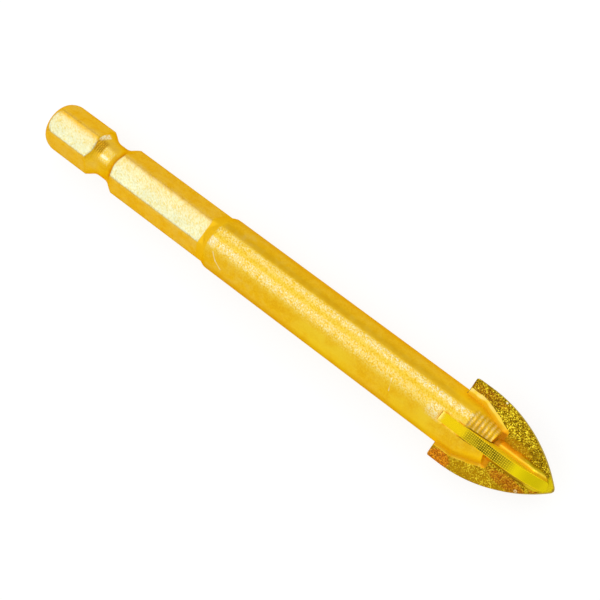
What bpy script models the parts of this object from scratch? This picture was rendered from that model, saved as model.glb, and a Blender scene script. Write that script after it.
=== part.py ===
"""Cross-head glass and tile drill bit with a quarter-inch hex shank.

A steel body, turned from hex stock, carries four carbide cutting edges at its front
end: one main spear plate through the full width, and two side plates that stand on
its faces at right angles. The plates are brazed into two crossing slots, and a bead
of braze runs round the foot of each of the four steel cheeks, whose ends lean back.

The bit lies with its axis along +X, the tip at +X and the end of the shank at the
origin. One hex flat faces +Z. Everything is drawn upright, with the axis along z, in
the frame of the bit_axis empty, and the cutting head in that of the head_turn empty,
which is turned a little about the axis.
"""

import math

import bmesh
import bpy
from mathutils import Matrix, Vector

MM = 0.001

# Whole bit
BIT_LENGTH = 85.0 * MM
TIP_REACH = 9.0 * MM
HEAD_TURN = math.radians(12.5)

# Hex shank with its power groove
HEX_ACROSS_FLATS = 6.35 * MM
HEX_CORNER_BREAK = 0.1 * MM
SHANK_LENGTH = 30.5 * MM
END_FACE_DIAMETER = 5.6 * MM
END_ROUNDING = 2.0 * MM
GROOVE_CENTRE = 10.3 * MM
GROOVE_DIAMETER = 5.2 * MM
GROOVE_FLOOR = 0.9 * MM
GROOVE_RADIUS = 2.55 * MM

# Round body and the taper of its four cheeks
BODY_DIAMETER = 7.8 * MM
SHOULDER_SLOPE = math.radians(24.0)
CONE_START_DEPTH = 0.16 * MM
CHEEK_TAPER_LENGTH = 3.9 * MM
CHEEK_END_DIAMETER = 5.4 * MM
CHEEK_EDGE_RADIUS = 0.3 * MM
CHEEK_END_LEAN = math.radians(11.0)

# Main carbide plate
MAIN_WIDTH = 12.0 * MM
MAIN_THICKNESS = 2.0 * MM
MAIN_LENGTH = 15.5 * MM
MAIN_OGIVE_RADIUS = 18.9 * MM
MAIN_RELIEF = 0.3 * MM
MAIN_CORNER = 0.18 * MM

# Side carbide plates
SIDE_THICKNESS = 1.4 * MM
SIDE_LENGTH = 16.3 * MM
SIDE_RECESS = 0.03 * MM
SIDE_TIP_SETBACK = 0.9 * MM
SIDE_OGIVE_RADIUS = 8.8 * MM
SIDE_RELIEF = 0.15 * MM
SIDE_CORNER = 0.2 * MM

# Slots and braze
BRAZE_GAP = 0.15 * MM
BEAD_CLEARANCE = 0.05 * MM
BEAD_WIDE_FOOT = 0.75 * MM
BEAD_NARROW_FOOT = 0.45 * MM
BEAD_CORNER_FOOT = 0.5 * MM
BEAD_HEIGHT = 0.5 * MM
BEAD_TIP_FOOT = 0.12 * MM
# The bead's hollow face runs this share of its foot or height off the root
BEAD_HOLLOW = 0.2

# Facets
ROUND_STEPS = 48
ARC_STEPS = 8
OGIVE_STEPS = 20
BEAD_STEPS = 5
CORNER_STEPS = 3
SHARP_ANGLE = math.radians(20.0)

# Places that follow from the sizes above
HALF_FACET = math.pi / ROUND_STEPS
BODY_LENGTH = BIT_LENGTH - TIP_REACH
BODY_RADIUS = BODY_DIAMETER / 2
CHEEK_END_RADIUS = CHEEK_END_DIAMETER / 2
FLAT_RADIUS = HEX_ACROSS_FLATS / 2
SHARP_CORNER_RADIUS = FLAT_RADIUS / math.cos(math.pi / 6)
CORNER_RADIUS = SHARP_CORNER_RADIUS - HEX_CORNER_BREAK
TAPER_START = BODY_LENGTH - CHEEK_TAPER_LENGTH
MAIN_BACK = BIT_LENGTH - MAIN_LENGTH
SIDE_BACK = BIT_LENGTH - SIDE_LENGTH
MAIN_FACE = MAIN_THICKNESS / 2
SIDE_FACE = SIDE_THICKNESS / 2
SIDE_SLOT_CORNER = SIDE_CORNER + BRAZE_GAP
# How far a cutter or the hex stock runs on past the steel that it meets
OVERRUN = 1.5 * MM
# Points closer than this are one point
SAME_POINT = 0.001 * MM

part = bpy.data.collections.new("glass_tile_drill_bit")
tools = bpy.data.collections.new("cutters")


def clear_scene():
    """Remove the objects that the file opens with."""
    for old in list(bpy.data.objects):
        bpy.data.objects.remove(old, do_unlink=True)


def metal(name, colour, roughness):
    """A metal with one colour and one roughness."""
    made = bpy.data.materials.new(name)
    made.use_nodes = True
    shader = made.node_tree.nodes["Principled BSDF"]
    shader.inputs["Base Color"].default_value = (*colour, 1.0)
    shader.inputs["Metallic"].default_value = 1.0
    shader.inputs["Roughness"].default_value = roughness
    return made


def place(obj, parent, collection=None, material=None):
    """Put an object in its collection, under its parent, with its material."""
    (collection or part).objects.link(obj)
    obj.parent = parent
    if material:
        obj.data.materials.append(material)
    if collection is tools:
        obj.hide_render = True
        obj.display_type = "WIRE"
    return obj


def empty(name, parent=None, rotation=(0.0, 0.0, 0.0)):
    """An empty that carries the frame its children are drawn in."""
    made = bpy.data.objects.new(name, None)
    made.rotation_euler = rotation
    return place(made, parent)


def boolean(obj, operation, cutter):
    """Join, cut or trim a solid with another."""
    step = obj.modifiers.new(cutter.name, "BOOLEAN")
    step.operation = operation
    step.solver = "EXACT"
    step.object = cutter


def turned(name, profile):
    """A solid turned about z from (radius, height) points that run from top to bottom."""
    mesh = bpy.data.meshes.new(name)
    edges = [(i, i + 1) for i in range(len(profile) - 1)]
    mesh.from_pydata([(radius, 0.0, height) for radius, height in profile], edges, [])
    obj = bpy.data.objects.new(name, mesh)
    screw = obj.modifiers.new("Turn", "SCREW")
    screw.axis = "Z"
    screw.angle = 2 * math.pi
    screw.steps = screw.render_steps = ROUND_STEPS
    screw.use_merge_vertices = True
    screw.merge_threshold = SAME_POINT
    # A flat facet, not an edge, is at the bottom when the bit lies down
    obj.rotation_euler = (0.0, 0.0, HALF_FACET)
    return obj


def loft(name, sections):
    """A closed solid through sections that have the same number of points."""
    form = bmesh.new()
    rings = [[form.verts.new(point) for point in section] for section in sections]
    count = len(rings[0])
    for ring, following in zip(rings, rings[1:]):
        for i in range(count):
            j = (i + 1) % count
            form.faces.new((ring[i], ring[j], following[j], following[i]))
    form.faces.new(rings[0])
    form.faces.new(reversed(rings[-1]))
    bmesh.ops.recalc_face_normals(form, faces=form.faces)
    mesh = bpy.data.meshes.new(name)
    form.to_mesh(mesh)
    form.free()
    return mesh


def arc(centre, radius, start, stop, steps):
    """Points of an arc in a plane, from one angle to another."""
    angles = [start + (stop - start) * i / steps for i in range(steps + 1)]
    return [(centre[0] + radius * math.cos(a), centre[1] + radius * math.sin(a)) for a in angles]


def hex_stock():
    """The hex bar, with flats square to y."""
    height = SHANK_LENGTH + OVERRUN
    form = bmesh.new()
    made = bmesh.ops.create_cone(
        form, cap_ends=True, segments=6, depth=height, radius1=SHARP_CORNER_RADIUS,
        radius2=SHARP_CORNER_RADIUS, matrix=Matrix.Rotation(math.pi / 6, 4, "Z"),
    )
    bmesh.ops.translate(form, verts=made["verts"], vec=(0.0, 0.0, height / 2))
    mesh = bpy.data.meshes.new("bit_body")
    form.to_mesh(mesh)
    form.free()
    return bpy.data.objects.new("bit_body", mesh)


def shank_envelope():
    """The turned outline that trims the hex bar: rounded end, broken corners, groove."""
    top = SHANK_LENGTH + 2 * OVERRUN
    profile = [(0.0, top), (CORNER_RADIUS, top)]

    depth = CORNER_RADIUS - GROOVE_DIAMETER / 2
    reach = math.acos(1 - depth / GROOVE_RADIUS)
    centre_radius = GROOVE_DIAMETER / 2 + GROOVE_RADIUS
    upper = (centre_radius, GROOVE_CENTRE + GROOVE_FLOOR / 2)
    lower = (centre_radius, GROOVE_CENTRE - GROOVE_FLOOR / 2)
    profile += arc(upper, GROOVE_RADIUS, math.pi - reach, math.pi, ARC_STEPS)
    profile += arc(lower, GROOVE_RADIUS, math.pi, math.pi + reach, ARC_STEPS)

    depth = CORNER_RADIUS - END_FACE_DIAMETER / 2
    sweep = math.acos(1 - depth / END_ROUNDING)
    height = END_ROUNDING * math.sin(sweep)
    profile += arc((CORNER_RADIUS - END_ROUNDING, height), END_ROUNDING, 0.0, -sweep, ARC_STEPS)
    profile.append((0.0, 0.0))
    return turned("shank_envelope", profile)


def round_body():
    """The round body, from the cone where it leaves the hex to the ends of the cheeks."""
    slope = math.atan2(BODY_RADIUS - CHEEK_END_RADIUS, CHEEK_TAPER_LENGTH)
    inset = CHEEK_EDGE_RADIUS * math.tan((math.pi / 2 - slope) / 2)
    edge_centre = (CHEEK_END_RADIUS - inset, BODY_LENGTH - CHEEK_EDGE_RADIUS)
    profile = [(0.0, BODY_LENGTH)]
    profile += arc(edge_centre, CHEEK_EDGE_RADIUS, math.pi / 2, slope, CORNER_STEPS)
    profile.append((BODY_RADIUS, TAPER_START))

    # The cone starts inside the hex, where its flats still cover it
    start_radius = FLAT_RADIUS - CONE_START_DEPTH
    start = SHANK_LENGTH - (BODY_RADIUS - start_radius) / math.tan(SHOULDER_SLOPE)
    profile += [(BODY_RADIUS, SHANK_LENGTH), (start_radius, start), (0.0, start)]
    return turned("round_body", profile)


def main_slot():
    """The slot for the main plate, sawn through the full width of the body."""
    bottom = MAIN_BACK - BRAZE_GAP
    top = BODY_LENGTH + OVERRUN
    form = bmesh.new()
    made = bmesh.ops.create_cube(form, size=1.0)
    size = (BODY_DIAMETER + 2 * OVERRUN, MAIN_THICKNESS + 2 * BRAZE_GAP, top - bottom)
    bmesh.ops.scale(form, verts=made["verts"], vec=size)
    bmesh.ops.translate(form, verts=made["verts"], vec=(0.0, 0.0, (top + bottom) / 2))
    mesh = bpy.data.meshes.new("main_slot")
    form.to_mesh(mesh)
    form.free()
    return bpy.data.objects.new("main_slot", mesh)


def end_wedge(name, turn):
    """A block whose underside leans back over the main plate's face and trims the cheeks."""
    form = bmesh.new()
    made = bmesh.ops.create_cube(form, size=BODY_DIAMETER + 2 * OVERRUN)
    half = BODY_RADIUS + OVERRUN
    bmesh.ops.translate(form, verts=made["verts"], vec=(0.0, half, half))
    mesh = bpy.data.meshes.new(name)
    form.to_mesh(mesh)
    form.free()
    wedge = bpy.data.objects.new(name, mesh)
    wedge.rotation_euler = (-CHEEK_END_LEAN, 0.0, turn)
    wedge.location = (0.0, MAIN_FACE * math.cos(turn), BODY_LENGTH)
    return wedge


def side_slot(parent):
    """The slot for both side plates, milled across with rounded bottom corners."""
    half = SIDE_FACE + BRAZE_GAP
    bottom = SIDE_BACK - BRAZE_GAP
    top = BODY_LENGTH + OVERRUN
    centre = half - SIDE_SLOT_CORNER
    rise = bottom + SIDE_SLOT_CORNER
    outline = [(half, top), (-half, top)]
    outline += arc((-centre, rise), SIDE_SLOT_CORNER, math.pi, 1.5 * math.pi, CORNER_STEPS)
    outline += arc((centre, rise), SIDE_SLOT_CORNER, 1.5 * math.pi, 2 * math.pi, CORNER_STEPS)

    curve = bpy.data.curves.new("side_slot_outline", "CURVE")
    curve.dimensions = "2D"
    curve.fill_mode = "BOTH"
    curve.extrude = BODY_RADIUS + OVERRUN
    spline = curve.splines.new("POLY")
    spline.points.add(len(outline) - 1)
    for point, (x, y) in zip(spline.points, outline):
        point.co = (x, y, 0.0, 1.0)
    spline.use_cyclic_u = True
    drawn = bpy.data.objects.new("side_slot_outline", curve)
    drawn.rotation_euler = (math.pi / 2, 0.0, 0.0)
    place(drawn, parent, tools)
    return drawn


def curve_to_mesh(drawn, name, parent):
    """The solid of an extruded outline as a mesh, with its caps welded on."""
    graph = bpy.context.evaluated_depsgraph_get()
    mesh = bpy.data.meshes.new_from_object(drawn.evaluated_get(graph))
    mesh.name = name
    form = bmesh.new()
    form.from_mesh(mesh)
    bmesh.ops.remove_doubles(form, verts=form.verts, dist=SAME_POINT)
    bmesh.ops.recalc_face_normals(form, faces=form.faces)
    form.to_mesh(mesh)
    form.free()
    solid = bpy.data.objects.new(name, mesh)
    place(solid, parent, tools)
    solid.matrix_world = drawn.matrix_world
    bpy.data.objects.remove(drawn)
    return solid


def main_outlines():
    """The main plate's outline on its front face and on its back face.

    Each face has one full edge and one that is set in by the relief. The apex is where
    the full arc meets the relieved one, a little off the axis, so the two faces' apexes
    make the short chisel edge of a spear point. The arcs start square to the plate's
    straight sides, or at its back corners where the plate is too short for that.
    """
    half = MAIN_WIDTH / 2
    sink = MAIN_OGIVE_RADIUS - half
    relieved = MAIN_OGIVE_RADIUS - MAIN_RELIEF
    apex = (MAIN_OGIVE_RADIUS ** 2 - relieved ** 2) / (4 * sink)
    run = math.sqrt(MAIN_OGIVE_RADIUS ** 2 - (sink + apex) ** 2)
    tangent = BIT_LENGTH - run

    def edge(radius, apex_height):
        """Points of one edge, from the back corner to the apex."""
        start = math.asin(max(0.0, MAIN_BACK + MAIN_CORNER - tangent) / radius)
        stop = math.acos(apex_height / radius)
        width = radius * math.cos(start) - sink
        points = [(width - MAIN_CORNER, MAIN_BACK)]
        if start == 0.0:
            points.append((width, MAIN_BACK + MAIN_CORNER))
        return points + arc((-sink, tangent), radius, start, stop, OGIVE_STEPS)

    full = edge(MAIN_OGIVE_RADIUS, sink + apex)
    inset = edge(relieved, sink - apex)
    front = full[:-1] + [(apex, BIT_LENGTH)] + [(-x, z) for x, z in reversed(inset[:-1])]
    back = inset[:-1] + [(-apex, BIT_LENGTH)] + [(-x, z) for x, z in reversed(full[:-1])]
    return front, back


def main_plate():
    """The spear plate, a loft between its two unlike faces."""
    front, back = main_outlines()
    sections = [
        [(x, MAIN_FACE, z) for x, z in front],
        [(x, -MAIN_FACE, z) for x, z in back],
    ]
    return bpy.data.objects.new("main_carbide_plate", loft("main_carbide_plate", sections))


def side_outline(relief):
    """One face of a side plate as (height off the axis, place along it) points."""
    foot = MAIN_FACE + BRAZE_GAP
    top = math.sqrt(BODY_RADIUS ** 2 - SIDE_FACE ** 2) - SIDE_RECESS
    sink = SIDE_OGIVE_RADIUS - top
    run = math.sqrt(SIDE_OGIVE_RADIUS ** 2 - (foot + sink) ** 2)
    tangent = BIT_LENGTH - SIDE_TIP_SETBACK - run
    radius = SIDE_OGIVE_RADIUS - relief
    stop = math.acos((foot + sink) / radius)
    points = [(foot, SIDE_BACK), (radius - sink, SIDE_BACK)]
    return points + arc((-sink, tangent), radius, 0.0, stop, OGIVE_STEPS)


def side_plate_mesh():
    """A side plate that stands on the main plate's front face, its back corners rounded."""
    leading = [(-SIDE_FACE, y, z) for y, z in side_outline(0.0)]
    trailing = [(SIDE_FACE, y, z) for y, z in side_outline(SIDE_RELIEF)]
    mesh = loft("side_carbide_plate", [leading, trailing])
    form = bmesh.new()
    form.from_mesh(mesh)
    at_back = [
        edge for edge in form.edges
        if max(abs(v.co.z - SIDE_BACK) for v in edge.verts) < SAME_POINT
        and abs(edge.verts[0].co.x - edge.verts[1].co.x) < SAME_POINT
    ]
    bmesh.ops.bevel(
        form, geom=at_back, offset=SIDE_CORNER, segments=CORNER_STEPS, profile=0.5, affect="EDGES",
    )
    form.to_mesh(mesh)
    form.free()
    return mesh


def cheek_radius(z):
    """Outer radius of a cheek at a place along the axis."""
    along = max(0.0, z - TAPER_START) / CHEEK_TAPER_LENGTH
    return BODY_RADIUS + (CHEEK_END_RADIUS - BODY_RADIUS) * along


def cheek_wall(z, y):
    """Distance in x from the axis to a cheek's outer face, at a height y off the axis."""
    return math.sqrt(cheek_radius(z) ** 2 - y ** 2)


def bead_section(foot, wall, normal, width):
    """Five points of a bead: its root, its toe, two on the hollow face, and its top.

    The root lies in the corner of plate and wall, the toe a foot's width away from the
    wall along the normal, and the top up the leaning wall. The hollow face is drawn in
    towards the root between toe and top. foot and wall are the wall's (x, z) at the
    bead's base and at its top.
    """
    base = MAIN_FACE + BEAD_CLEARANCE
    out = Vector((normal[0], 0.0, normal[1]))
    root = Vector((foot[0], base, foot[1])) + out * BEAD_CLEARANCE
    toe = out * width
    height = BEAD_HEIGHT * min(1.0, width / BEAD_NARROW_FOOT)
    top = Vector((wall[0] - foot[0], height, wall[1] - foot[1]))
    return [
        root,
        root + toe,
        root + toe / 2 + top * BEAD_HOLLOW,
        root + toe * BEAD_HOLLOW + top / 2,
        root + top,
    ]


def bead_mesh(name, side, foot):
    """The bead round one cheek of the front face: along its flank, across its end, and
    on along the side plate's foot. side is +1 or -1, the cheek's side in x."""
    base = MAIN_FACE + BEAD_CLEARANCE
    top = base + BEAD_HEIGHT
    sections = []

    def add(foot_at, wall_at, normal, width):
        points = bead_section(foot_at, wall_at, normal, width)
        sections.append([(side * p.x, p.y, p.z) for p in points])

    def add_at_flank(z, wall_z, normal, width):
        add((cheek_wall(z, base), z), (cheek_wall(wall_z, top), wall_z), normal, width)

    start = MAIN_BACK + MAIN_CORNER
    add_at_flank(start, start, (1.0, 0.0), foot)
    slope = (BODY_RADIUS - CHEEK_END_RADIUS) / CHEEK_TAPER_LENGTH
    flank = Vector((1.0, slope)).normalized()
    first = max(TAPER_START, start + foot)
    last = BODY_LENGTH - CHEEK_EDGE_RADIUS
    at_corner = min(foot, BEAD_CORNER_FOOT)
    setback = BEAD_HEIGHT * math.tan(CHEEK_END_LEAN)
    for i in range(BEAD_STEPS + 1):
        share = i / BEAD_STEPS
        z = first + (last - first) * share
        normal = (1.0, slope / 2) if i == 0 else flank
        add_at_flank(z, z - setback * share, normal, foot + (at_corner - foot) * share)

    # Round the cheek's end corner, then across its leaning end to the side plate
    corner = (cheek_wall(BODY_LENGTH, base), BODY_LENGTH)
    leant = BODY_LENGTH - setback
    corner_top = (cheek_wall(BODY_LENGTH, top), leant)
    for i in range(1, CORNER_STEPS):
        turn = math.pi / 2 * i / CORNER_STEPS
        add(corner, corner_top, (math.cos(turn), math.sin(turn)), at_corner)
    narrow = BEAD_NARROW_FOOT
    across = corner_top[0] - BEAD_CLEARANCE
    add((across, BODY_LENGTH), (across, leant), (0.0, 1.0), narrow)
    add((SIDE_FACE, BODY_LENGTH), (SIDE_FACE, leant), (1.0, 1.0), narrow)

    # The bead thins out where the main plate becomes too narrow to carry it
    sink = MAIN_OGIVE_RADIUS - MAIN_WIDTH / 2
    room = SIDE_FACE + BEAD_CLEARANCE + narrow + MAIN_RELIEF
    rise = math.sqrt(MAIN_OGIVE_RADIUS ** 2 - (room + sink) ** 2)
    end = BIT_LENGTH - math.sqrt(MAIN_OGIVE_RADIUS ** 2 - sink ** 2) + rise
    begin = BODY_LENGTH + BEAD_CLEARANCE + narrow
    for i in range(1, BEAD_STEPS + 1):
        z = begin + (end - begin) * i / BEAD_STEPS
        width = narrow if i < BEAD_STEPS else BEAD_TIP_FOOT
        add((SIDE_FACE, z), (SIDE_FACE, z), (1.0, 0.0), width)
    return loft(name, sections)


def build():
    """Make the pieces and place them."""
    clear_scene()
    bpy.context.scene.collection.children.link(part)
    bpy.context.scene.collection.children.link(tools)
    coated_steel = metal("coated_steel", (0.85, 0.55, 0.12), 0.3)
    coated_carbide = metal("coated_carbide", (0.62, 0.46, 0.07), 0.45)
    braze = metal("braze", (0.92, 0.66, 0.16), 0.3)

    # x of the drawing goes to +Y, y to +Z and z, the bit's axis, to +X
    bit_axis = empty("bit_axis", rotation=(math.pi / 2, 0.0, math.pi / 2))
    head_turn = empty("head_turn", bit_axis, (0.0, 0.0, HEAD_TURN))

    body = place(hex_stock(), bit_axis, material=coated_steel)
    envelope = place(shank_envelope(), bit_axis, tools)
    barrel = place(round_body(), bit_axis, tools)
    sawn = place(main_slot(), head_turn, tools)
    milled = curve_to_mesh(side_slot(head_turn), "side_slot", head_turn)
    front_wedge = place(end_wedge("end_wedge_front", 0.0), head_turn, tools)
    back_wedge = place(end_wedge("end_wedge_back", math.pi), head_turn, tools)
    boolean(body, "INTERSECT", envelope)
    boolean(body, "UNION", barrel)
    boolean(body, "DIFFERENCE", sawn)
    boolean(body, "DIFFERENCE", milled)
    boolean(body, "DIFFERENCE", front_wedge)
    boolean(body, "DIFFERENCE", back_wedge)

    place(main_plate(), head_turn, material=coated_carbide)

    side_mesh = side_plate_mesh()
    wide_bead = bead_mesh("braze_bead_wide", 1, BEAD_WIDE_FOOT)
    narrow_bead = bead_mesh("braze_bead_narrow", -1, BEAD_NARROW_FOOT)
    side_mesh.materials.append(coated_carbide)
    wide_bead.materials.append(braze)
    narrow_bead.materials.append(braze)
    for face, turn in (("front", 0.0), ("back", math.pi)):
        copies = (
            ("side_carbide_plate_" + face, side_mesh),
            ("braze_bead_wide_" + face, wide_bead),
            ("braze_bead_narrow_" + face, narrow_bead),
        )
        for name, mesh in copies:
            obj = place(bpy.data.objects.new(name, mesh), head_turn)
            obj.rotation_euler = (0.0, 0.0, turn)

    for obj in part.objects:
        if obj.type == "MESH":
            obj.data.shade_smooth()
            obj.data.set_sharp_from_angle(angle=SHARP_ANGLE)


build()
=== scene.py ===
"""Looks of a cross-head drill bit for glass and tile, gold coated all over.

Everything is in the part's own frame, in metres: the bit's axis runs along +X, the tip is
at +X, and one flat of the hex shank faces up. Sizes below are written in millimetres.
"""

import math

import bmesh
import bpy
import numpy as np
from mathutils import Matrix, Vector


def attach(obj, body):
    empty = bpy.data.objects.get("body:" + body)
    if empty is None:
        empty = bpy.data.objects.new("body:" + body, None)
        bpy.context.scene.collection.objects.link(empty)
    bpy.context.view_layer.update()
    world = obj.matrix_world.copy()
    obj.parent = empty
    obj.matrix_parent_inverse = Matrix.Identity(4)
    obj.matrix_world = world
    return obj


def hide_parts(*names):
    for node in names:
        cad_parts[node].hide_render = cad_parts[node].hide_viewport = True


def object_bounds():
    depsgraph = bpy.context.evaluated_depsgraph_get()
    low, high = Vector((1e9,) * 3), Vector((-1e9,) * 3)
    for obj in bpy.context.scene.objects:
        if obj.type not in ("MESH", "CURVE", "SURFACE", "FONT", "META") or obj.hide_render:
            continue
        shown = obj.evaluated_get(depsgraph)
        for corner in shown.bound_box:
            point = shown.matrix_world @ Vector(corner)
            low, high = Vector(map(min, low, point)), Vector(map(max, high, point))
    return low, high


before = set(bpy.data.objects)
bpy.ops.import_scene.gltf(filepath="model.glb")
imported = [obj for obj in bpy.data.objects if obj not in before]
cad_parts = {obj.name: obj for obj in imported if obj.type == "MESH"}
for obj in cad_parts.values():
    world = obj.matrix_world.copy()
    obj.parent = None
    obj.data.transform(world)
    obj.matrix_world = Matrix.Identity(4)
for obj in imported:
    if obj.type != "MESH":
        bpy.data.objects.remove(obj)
cad_low, cad_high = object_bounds()

# The camera hangs over the bit's head and looks down and back along it with a long lens.
# It is rolled, so that the bit lies across the picture with its tip at the lower right.
MM = 0.001
CAMERA_PLACE = Vector((106.5, 0.0, 181.7)) * MM
CAMERA_AIM = Vector((44.1, 0.2, 0.0)) * MM
CAMERA_ROLL = math.radians(36.73)
CAMERA_LENS = 88.5

ahead = (CAMERA_AIM - CAMERA_PLACE).normalized()
along_bit = (Vector((1.0, 0.0, 0.0)) - ahead * ahead.x).normalized()
rightwards = Matrix.Rotation(CAMERA_ROLL, 3, -ahead) @ along_bit
upwards = rightwards.cross(ahead)
camera_data = bpy.data.cameras.new("camera")
camera_data.lens = CAMERA_LENS
camera_data.clip_start = 10 * MM
camera_data.clip_end = 10000 * MM
camera = bpy.data.objects.new("camera", camera_data)
bpy.context.scene.collection.objects.link(camera)
turn = Matrix((rightwards, upwards, -ahead)).transposed()
camera.matrix_world = Matrix.Translation(CAMERA_PLACE) @ turn.to_4x4()
bpy.context.scene.camera = camera
bpy.context.scene.view_settings.view_transform = "Standard"


# The light is a white studio: pale walls all round, a large softbox over the shank and
# a longer one over the bit's far side, which draw the bright bands along the metal.
class Reading:
    """One value over a surface: an output socket whose sums become Math nodes."""

    def __init__(self, tree, socket):
        self.tree = tree
        self.socket = socket

    def node(self, kind, settings=None, sockets=None, output=0):
        """Add a node: its settings first, then the values or links of its sockets."""
        made = self.tree.nodes.new(kind)
        for name, value in (settings or {}).items():
            setattr(made, name, value)
        for name, value in (sockets or {}).items():
            if isinstance(value, Reading):
                self.tree.links.new(value.socket, made.inputs[name])
            else:
                made.inputs[name].default_value = value
        return Reading(self.tree, made.outputs[output])

    def maths(self, operation, *values):
        """Add a Math node on these values."""
        return self.node("ShaderNodeMath", {"operation": operation}, dict(enumerate(values)))

    def __add__(self, other):
        return self.maths("ADD", self, other)

    def __radd__(self, other):
        return self.maths("ADD", other, self)

    def __sub__(self, other):
        return self.maths("SUBTRACT", self, other)

    def __rsub__(self, other):
        return self.maths("SUBTRACT", other, self)

    def __mul__(self, other):
        return self.maths("MULTIPLY", self, other)

    def __rmul__(self, other):
        return self.maths("MULTIPLY", other, self)

    def __truediv__(self, other):
        return self.maths("DIVIDE", self, other)

    def __abs__(self):
        return self.maths("ABSOLUTE", self)

    def rise(self, low, high):
        """0 below low, 1 above high, and smooth between them. Swapped, it falls."""
        settings = {"interpolation_type": "SMOOTHSTEP"}
        return self.node("ShaderNodeMapRange", settings, {0: self, 1: low, 2: high})

    def between(self, start, full, fade, stop):
        """1 from full to fade, 0 outside start and stop, and smooth between them."""
        return self.rise(start, full) * self.rise(stop, fade)

    def at_most_one(self):
        """The value, or 1 where it is over 1."""
        return self.maths("MINIMUM", self, 1.0)

    def parts(self):
        """The x, y and z of a vector."""
        split = self.node("ShaderNodeSeparateXYZ", sockets={0: self})
        return [Reading(self.tree, socket) for socket in split.socket.node.outputs]


def softbox(name, place, aim, width, length, glow):
    """A lamp panel of a width and a length, in mm, that glows this many times white. Its
    energy is four times its glow times its area."""
    data = bpy.data.lights.new(name, "AREA")
    data.shape = "RECTANGLE"
    data.size = width * MM
    data.size_y = length * MM
    data.energy = 4 * glow * data.size * data.size_y
    lamp = bpy.data.objects.new(name, data)
    lamp.location = Vector(place) * MM
    lamp.rotation_euler = (Vector(aim) * MM - lamp.location).to_track_quat("-Z", "X").to_euler()
    bpy.context.scene.collection.objects.link(lamp)


softbox(
    "shank_softbox", place=(-200.0, -70.0, 450.0), aim=(20.0, 0.0, 0.0),
    width=170.0, length=170.0, glow=1.22,
)
softbox(
    "far_softbox", place=(60.0, 300.0, 358.0), aim=(60.0, 0.0, 0.0),
    width=60.0, length=420.0, glow=1.76,
)

studio = bpy.data.worlds.new("studio")
bpy.context.scene.world = studio
studio.use_nodes = True
backdrop = studio.node_tree.nodes["Background"]
view = Reading(studio.node_tree, None)
ray = view.node("ShaderNodeLightPath", output="Is Camera Ray")
east, north, up = view.node("ShaderNodeTexCoord", output="Generated").parts()
WALL_GLOW = 0.98
NORTH_SHADE = 0.14
NORTH_WALL = (0.6, 0.92)
EAST_SHADE = 0.3
EAST_WALL = (0.35, 0.7)
OFF_THE_FLOOR = (0.2, 0.5)
shaded = north.rise(*NORTH_WALL) * NORTH_SHADE
shaded = shaded + east.rise(*EAST_WALL) * up.rise(*OFF_THE_FLOOR) * EAST_SHADE
glow = (WALL_GLOW - shaded) * (1.0 - ray) + ray
studio.node_tree.links.new(glow.socket, backdrop.inputs["Strength"])
backdrop.inputs["Color"].default_value = (1.0, 1.0, 1.0, 1.0)

# The floor is a wide sheet of white card that the bit lies on.
# It looks white to the camera and in the metal, and keeps a soft shadow.
FLOOR_SIZE = 3000 * MM
CARD_WHITE = 0.82
CARD_GLOW = 0.75
CARD_LIGHT = 1.1
CARD_ROUGHNESS = 0.9
CARD_SHEEN = 0.1

bpy.ops.mesh.primitive_plane_add(size=FLOOR_SIZE, location=(0.0, 0.0, cad_low.z))
floor = bpy.context.object
floor.name = "floor"
card = bpy.data.materials.new("white_card")
card.use_nodes = True
card_tree = card.node_tree
card_surface = card_tree.nodes["Principled BSDF"]
card_surface.inputs["Base Color"].default_value = (CARD_WHITE, CARD_WHITE, CARD_WHITE, 1.0)
card_surface.inputs["Roughness"].default_value = CARD_ROUGHNESS
card_surface.inputs["Specular IOR Level"].default_value = CARD_SHEEN
path = Reading(card_tree, None)
seen = path.node("ShaderNodeLightPath", output="Is Camera Ray")
mirrored = Reading(card_tree, seen.socket.node.outputs["Is Glossy Ray"])
passed = Reading(card_tree, seen.socket.node.outputs["Is Transmission Ray"])
lit = path.node("ShaderNodeEmission", sockets={"Strength": CARD_LIGHT})
share = (seen + mirrored + passed).at_most_one() * CARD_GLOW
both = path.node("ShaderNodeMixShader", sockets={
    0: share, 1: Reading(card_tree, card_surface.outputs[0]), 2: lit,
})
card_tree.links.new(both.socket, card_tree.nodes["Material Output"].inputs["Surface"])
floor.data.materials.append(card)

# The body is one bar of steel: a hex shank with a turned power groove, a short cone, a
# round body and four tapered cheeks that hold the carbide. It is turned and milled, blasted
# to a fine grain and coated gold, and the lathe's rings still show in groove and taper.
HEX_FLAT = 6.35 / 2
CORNER_BREAK = 0.1
HEX_CORNER = HEX_FLAT / math.cos(math.pi / 6) - CORNER_BREAK
SHANK_LENGTH = 30.5
END_FACE_RADIUS = 2.8
END_ROUNDING = 2.0
GROOVE_CENTRE = 10.3
GROOVE_FLOOR = 0.9
GROOVE_NECK = 2.6
GROOVE_RADIUS = 2.55
GROOVE_REACH = 2.75
GROOVE_PITCH = 0.27
GROOVE_RING_DEPTH = 0.007
GROOVE_RINGS_BEFORE = 2.2
GROOVE_RINGS_AFTER = 1.0
BODY_RADIUS = 3.9
BODY_LENGTH = 76.0
CONE_SLOPE = math.tan(math.radians(24.0))
TAPER_START = 72.1
CHEEK_END_RADIUS = 2.7
CHEEK_EDGE = 0.3
CHEEK_END_LEAN = math.tan(math.radians(11.0))
TAPER_PITCH = 0.62
TAPER_RING_DEPTH = 0.006
HEX_ROUNDING = 0.025
SHOULDER_ROUNDING = 0.03
CONE_ROUNDING = 0.04
TAPER_ROUNDING = 0.02


def rounded_least(one, other, bend):
    """The lesser of two sizes with the corner rounded: -b ln(exp(-one/b) + exp(-other/b))."""
    return -bend * np.logaddexp(-one / bend, -other / bend)


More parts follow.
